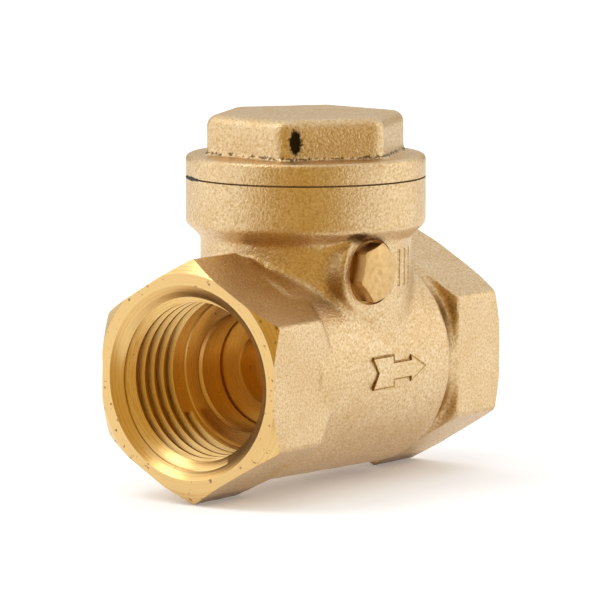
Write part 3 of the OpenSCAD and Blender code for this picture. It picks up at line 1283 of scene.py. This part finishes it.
@dataclass
class HangerArm(Piece):
    """The cast arm that hangs on the pin and carries the disc."""

    hub_r: float = 2.6
    web: float = 5.0
    eye_r: float = 4.0
    # Where the eye's two faces lie along the pipe, and how wide they are cut
    eye: tuple[float, float] = (19.97, 21.77)
    facing_r: float = 4.6
    facing_stock: float = 0.6
    pin_hole_r: float = 1.55
    stud_hole_r: float = 2.05
    voxel: float = 0.2

    def build(self, cast_finish: Material, bright: Material) -> None:
        """Casts the arm and drills it.

        Args:
            cast_finish: The blasted finish.
            bright: Turned brass.
        """
        low, high = box_mm(self.node)
        pin = middle_mm("hinge_pin")
        near, far = self.eye
        hub = rod(self.hub_r, low.y, high.y, Axis.PLUG, pin)
        ring = rod(self.eye_r, near - self.facing_stock, far + self.facing_stock, Axis.PIPE, Vector())
        web = block((near, -self.web / 2, 0), (far, self.web / 2, pin.z))
        arm = cast("hanger", [hub, ring, web], self.voxel, soften=3, flow=22)
        arm.data.materials.append(cast_finish)
        for radius, start, end, axis, centre in (
            (self.facing_r, near - CLEAR, near, Axis.PIPE, Vector()),
            (self.facing_r, far, far + CLEAR, Axis.PIPE, Vector()),
            (self.pin_hole_r, low.y - OVER, high.y + OVER, Axis.PLUG, pin),
            (self.stud_hole_r, near - OVER, far + OVER, Axis.PIPE, Vector()),
        ):
            machine(arm, rod(radius, start, end, axis, centre), finish=bright)
        self.seat(arm)


@dataclass
class ClapperDisc(Piece):
    """The turned disc that closes on the seat, with a threaded stud on its back."""

    recess_r: float = 4.2
    recess: float = 2.45
    rim_t: float = 2.0
    hub_r: float = 5.6
    hub_t: float = 4.0
    stud_r: float = 2.0
    bevel: float = 0.15
    thread_from: float = 22.6
    thread: ScrewThread = ScrewThread(0.7, 0.3, 0.3, 0.06)

    def build(self, finish: Material) -> None:
        """Turns the disc and threads its stud.

        Args:
            finish: Turned brass.
        """
        low, high = box_mm(self.node)
        radius, face, tip, b = high.z, low.x, high.x, self.bevel
        back = face + self.hub_t
        outline = [
            (0, face + self.recess), (self.recess_r, face + self.recess), (self.recess_r, face + b),
            (self.recess_r + b, face), (radius - b, face), (radius, face + b), (radius, face + self.rim_t - b),
            (radius - b, face + self.rim_t), (self.hub_r, back), (self.stud_r, back),
            (self.stud_r, tip - 2 * b), (self.stud_r - 2 * b, tip), (0, tip),
        ]
        disc = turned(outline, Axis.PIPE, Vector())
        start, length = Vector((self.thread_from, 0, 0)), tip - self.thread_from + self.thread.pitch / 2
        machine(disc, self.thread.groove(self.stud_r, Axis.PIPE, start, length))
        self.seat(disc, finish)


@dataclass
class DiscWasher(Piece):
    """The stamped washer between the hanger and the nut."""

    hole_r: float = 2.05
    bevel: float = 0.12

    def build(self, finish: Material) -> None:
        """Stamps the washer.

        Args:
            finish: The washer's finish.
        """
        low, high = box_mm(self.node)
        radius, b = high.z, self.bevel
        outline = [
            (self.hole_r, low.x), (radius - b, low.x), (radius, low.x + b),
            (radius, high.x), (self.hole_r + b, high.x), (self.hole_r, high.x - b),
        ]
        self.seat(turned(outline, Axis.PIPE, Vector(), ring=True, steps=96), finish)


@dataclass
class DiscNut(Piece):
    """The hexagonal nut on the disc's stud, chamfered at both ends."""

    across_flats: float = 6.8
    hole_r: float = 2.05
    chamfer_r: float = 3.3
    slope: float = 0.577
    bevel: float = 0.2

    def build(self, finish: Material) -> None:
        """Makes the nut.

        Args:
            finish: The nut's finish.
        """
        low, high = box_mm(self.node)
        corner = self.across_flats / math.sqrt(3)
        nut = hexagon(corner, low.x, high.x, Axis.PIPE, Vector())
        wide = corner + OVER
        drop = self.slope * (wide - self.chamfer_r)
        outline = [
            (0, low.x), (self.chamfer_r, low.x), (wide, low.x + drop), (wide, high.x - drop),
            (self.chamfer_r, high.x), (0, high.x),
        ]
        machine(nut, turned(outline, Axis.PIPE, Vector(), steps=96), Cut.KEEP)
        b, mouth = self.bevel, self.hole_r + self.bevel + OVER
        hole = [
            (0, low.x - OVER), (mouth, low.x - OVER), (self.hole_r, low.x + b),
            (self.hole_r, high.x - b), (mouth, high.x + OVER), (0, high.x + OVER),
        ]
        machine(nut, turned(hole, Axis.PIPE, Vector(), steps=64))
        self.seat(nut, finish)


# ---------------------------------------------------------------- the studio


@dataclass(frozen=True)
class Card:
    """A curved card that shows only in the metal, by its angles in degrees and its distance in metres."""

    name: str
    # Its middle, from the camera's azimuth
    turn: float
    half_sweep: float
    low: float
    high: float
    distance: float
    shade: str
    # How near the valve its foot comes along the floor, in metres, or 0 for a card with no foot
    foot: float = 0.0


@dataclass(frozen=True)
class Lamp:
    """A soft rectangular lamp: its angles in degrees, and its distance and size in metres."""

    name: str
    turn: float
    elevation: float
    distance: float
    size: tuple[float, float]
    watts: float


@dataclass
class Studio:
    """The floor, the lamps, the cards that the metal mirrors, the white surroundings and the camera."""

    aim: tuple[float, float, float] = (22.892, 0.408, 7.475)
    azimuth: float = -53.87
    elevation: float = 7.09
    distance: float = 618.34
    lens: float = 308.97
    surroundings: float = 1.0
    floor_half: float = 3.0
    floor_glow: float = 0.12
    # A gold card on the viewer's side, and a low grey one behind the valve
    cards: tuple[Card, ...] = (
        Card("viewer_side", 0, 44, -2.9, 64, 0.42, "#C4A660", foot=0.045),
        Card("far_side", 180, 38, -2, 17, 0.6, "#968C78"),
    )
    lamps: tuple[Lamp, ...] = (
        Lamp("left_soft", -105, 22, 0.7, (0.35, 0.5), 0.36),
        Lamp("right_soft", 105, 20, 0.7, (0.35, 0.5), 0.43),
        Lamp("top_soft", -72, 54, 0.8, (0.35, 0.35), 1.1),
    )

    def toward(self, azimuth: float, elevation: float) -> Vector:
        """A direction from the valve, by azimuth and elevation in degrees.

        Args:
            azimuth: 0 is towards -Y, and 90 towards +X.
            elevation: The angle above the floor.

        Returns:
            The unit direction.
        """
        a, e = math.radians(azimuth), math.radians(elevation)
        return Vector((math.sin(a) * math.cos(e), -math.cos(a) * math.cos(e), math.sin(e)))

    def shown(self, tree: Tree) -> Socket:
        """Whether a ray comes from the eye or from a reflection, as 0 or 1.

        Args:
            tree: The node tree to add it to.

        Returns:
            The socket.
        """
        path = add(tree, "LightPath").outputs
        share = path["Is Camera Ray"]
        for ray in ("Is Glossy Ray", "Is Transmission Ray"):
            share = add(tree, "Math", {0: share, 1: path[ray]}, operation="MAXIMUM").outputs[0]
        return share

    def floor(self) -> None:
        """Lays the white paper floor that the valve stands on."""
        bm = bmesh.new()
        bmesh.ops.create_grid(bm, x_segments=1, y_segments=1, size=self.floor_half)
        floor = mesh_object("floor", bm)
        low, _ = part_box("valve_body")
        floor.data.transform(Matrix.Translation((0, 0, low.z)))
        # White paper: matte, with a faint tooth; what it sends back to the eye and the metal is topped up to white
        material, tree = blank("white_paper")
        tooth = add(tree, "TexNoise", {"Scale": per_mm(0.6), "Detail": 2.0})
        bump = add(tree, "Bump", {"Strength": 0.2, "Distance": 0.02 * MM, "Height": tooth.outputs[0]})
        white = {"Base Color": linear("#FFFFFF"), "Roughness": 0.9, "Specular IOR Level": 0.1}
        shader = add(tree, "BsdfPrincipled", {**white, "Normal": bump.outputs[0]})
        glow = add(tree, "Emission", {"Strength": self.floor_glow})
        none = add(tree, "Emission", {"Strength": 0.0})
        top_up = add(tree, "MixShader", {0: self.shown(tree), 1: none.outputs[0], 2: glow.outputs[0]})
        paper = add(tree, "AddShader", {0: shader.outputs[0], 1: top_up.outputs[0]})
        add(tree, "OutputMaterial", {"Surface": paper.outputs[0]})
        floor.data.materials.append(material)

    def stand(self, card: Card) -> None:
        """Stands a card round part of the valve.

        Args:
            card: The card.
        """
        bm = bmesh.new()
        start = self.azimuth + card.turn - card.half_sweep
        heights = (card.low, (card.low + card.high) / 2, card.high)
        ends = [bm.verts.new(self.toward(start, e) * card.distance) for e in heights]
        if card.foot:
            drop = self.toward(start, card.low).z * card.distance
            ends.insert(0, bm.verts.new(self.toward(start, 0) * card.foot + Vector((0, 0, drop))))
        edges = [bm.edges.new(pair) for pair in zip(ends, ends[1:])]
        bmesh.ops.spin(
            bm, geom=ends + edges, cent=(0, 0, 0), axis=(0, 0, 1), dvec=(0, 0, 0),
            angle=math.radians(2 * card.half_sweep), steps=24, use_merge=False, use_duplicate=False,
        )
        stood = mesh_object(card.name, bm)
        stood.data.transform(Matrix.Translation(Vector(self.aim) * MM))
        material, tree = blank(card.name + "_card")
        shader = add(tree, "BsdfDiffuse", {"Color": linear(card.shade)})
        add(tree, "OutputMaterial", {"Surface": shader.outputs[0]})
        stood.data.materials.append(material)
        stood.visible_camera = stood.visible_diffuse = stood.visible_shadow = False

    def place(self, name: str, data: bpy.types.ID, way: Vector, distance: float) -> Solid:
        """Puts a lamp or the camera at a distance from the valve, looking at it.

        Args:
            name: Its name.
            data: Its lamp or camera data.
            way: The direction that it stands in.
            distance: Its distance, in metres.

        Returns:
            The object.
        """
        placed = bpy.data.objects.new(name, data)
        placed.location = Vector(self.aim) * MM + way * distance
        placed.rotation_mode = "QUATERNION"
        placed.rotation_quaternion = (-way).to_track_quat("-Z", "Y")
        bpy.context.scene.collection.objects.link(placed)
        return placed

    def hang(self, lamp: Lamp) -> None:
        """Hangs a lamp.

        Args:
            lamp: The lamp.
        """
        light = bpy.data.lights.new(lamp.name, "AREA")
        light.shape = "RECTANGLE"
        light.size, light.size_y = lamp.size
        light.energy = lamp.watts
        way = self.toward(self.azimuth + lamp.turn, lamp.elevation)
        self.place(lamp.name, light, way, lamp.distance).visible_camera = False

    def sky(self) -> None:
        """Makes the surroundings white to the eye and in the metal, and softer as a light."""
        world = bpy.data.worlds.new("studio")
        bpy.context.scene.world = world
        world.use_nodes = True
        tree = world.node_tree
        tree.nodes.clear()
        soft, white = (
            add(tree, "Background", {"Color": linear("#FFFFFF"), "Strength": strength})
            for strength in (self.surroundings, 1.0)
        )
        both = add(tree, "MixShader", {0: self.shown(tree), 1: soft.outputs[0], 2: white.outputs[0]})
        add(tree, "OutputWorld", {"Surface": both.outputs[0]})

    def camera(self) -> None:
        """Sets up the camera."""
        data = bpy.data.cameras.new("camera")
        data.lens = self.lens
        data.clip_start, data.clip_end = 0.01, 20.0
        way = self.toward(self.azimuth, self.elevation)
        bpy.context.scene.camera = self.place("camera", data, way, self.distance * MM)

    def build(self) -> None:
        """Sets up the whole studio."""
        bpy.context.scene.view_settings.view_transform = "Standard"
        self.floor()
        for card in self.cards:
            self.stand(card)
        for lamp in self.lamps:
            self.hang(lamp)
        self.sky()
        self.camera()


def main() -> None:
    """Builds the valve's pieces in order, and then the studio."""
    logging.basicConfig(level=logging.INFO, format="%(name)s: %(message)s")
    # Shot-blasted castings look matte and pale gold, with painted shade darkening their corners
    casting = BlastedBrass("blasted_cast_brass", stains_and_shade=(
        # The first three marks are painted shade: under the rim above the plug, on the boss's left flank and on the
        # outlet hexagon's front bevel; the fourth darkens that bevel lower down
        StainAndShade((17.2, -12.2, 16.3), (1.5, 1.7, 0.8), "#5A3A14", 0.85, edge=0.5),
        StainAndShade((15.2, -10.4, 11.0), (0.9, 1.6, 3.6), "#8A6428", 0.6),
        StainAndShade((36.0, -12.4, 4.6), (1.6, 3.0, 4.2), "#8A6220", 0.75),
        StainAndShade((36.2, -11.4, -5.2), (1.4, 3.0, 3.6), "#A67C38", 0.6),
    )).make()
    # The second stain is a level seam of flecks at the foot of the cap's hexagon, all the way round
    cap_casting = BlastedBrass("blasted_cap_brass", stains_and_shade=(
        StainAndShade((13.4, -5.9, 27.5), (0.95, 0.95, 1.75), "#2A2012", edge=0.35),
        StainAndShade((23.5, 0.0, 25.55), (400.0, 400.0, 0.34), "#4A2C12", 0.8, edge=0.4, flecked=0.6),
    )).make()
    # Mould residue and painted edge shade make the arrow's edges brown
    residue_and_edge_shade = BlastedBrass("brass_with_residue_and_edge_shade", base="#AD8646", painted_pit_shade="#7C5A28", painted_glint="#C6A262").make()
    # A tumbled casting keeps deeper, browner dents than a blasted one, with darker painted shade in them
    tumbled = BlastedBrass("tumbled_cast_brass", base="#C9A261", painted_pit_shade="#8A6230", grain=0.2).make()
    # Drawn bar is smooth and even, with a slow mottle in place of a grain
    drawn = BlastedBrass(
        "drawn_plug_brass", base="#D3B079", painted_pit_shade="#C7A268", painted_glint="#DBBA80", grain=0.7, dent=0.006, rough=(0.36, 0.46)
    ).make()
    # Faced and bored brass mirror their surroundings in rings; the faces carry the most specks
    face = TurnedBrass(
        "turned_brass_face", Axis.PIPE, base="#E3C288", ring_shade="#D2AA66", specks=(0.625, 0.67)
    ).make()
    bore = TurnedBrass("bored_brass_pipe", Axis.PIPE, base="#E8C688", ring_shade="#D0A660", depth=0.002).make()
    neck = TurnedBrass("turned_brass_bonnet", Axis.BONNET, foot_mm("bonnet_cap")).make()
    # The spot face is darker: dirt, and painted shade round the plug's head
    spot = TurnedBrass(
        "brass_spotface_dirt_and_painted_shade", Axis.PLUG, middle_mm("hinge_pin"), base="#C49A5C", ring_shade="#96703A"
    ).make()
    disc = TurnedBrass("turned_disc_brass", Axis.PIPE, base="#DFB562").make()
    nut = TurnedBrass("drawn_nut_brass", Axis.PIPE, base="#D8B060").make()
    # Squeezed fibre looks brown at its edge, and the paste that bonds it nearly black
    fibre = FibreGasket("fibre_gasket", base="#80602F", fibre="#9A7844").make()
    paste = FibreGasket("joint_paste", base="#181412", fibre="#2C2722").make()
    # Steel looks grey among the brass: ground round the pin, and rolled in one direction on the washer
    ground = GroundSteel("ground_steel", (1, 8, 1)).make()
    rolled = GroundSteel("rolled_steel", (1, 1, 6)).make()

    ValveBody("valve_body", "body", "cast_brass").build(casting, face, bore, neck, spot, residue_and_edge_shade)
    BonnetCap("bonnet_cap", "body", "cap_brass").build(cap_casting, neck)
    BonnetGasket("bonnet_gasket", "body", "gasket").build(fibre, paste)
    HingePin("hinge_pin", "body", "pin_steel").build(ground)
    PinPlug("pin_plug", "body", "plug_brass").build(drawn)
    HangerArm("hanger_arm", "hanger", "hanger_brass").build(tumbled, bore)
    ClapperDisc("clapper_disc", "disc", "disc_brass").build(disc)
    DiscWasher("disc_washer", "disc", "washer_steel").build(rolled)
    DiscNut("disc_nut", "disc", "nut_brass").build(nut)
    Studio().build()


if __name__ == "__main__":
    main()
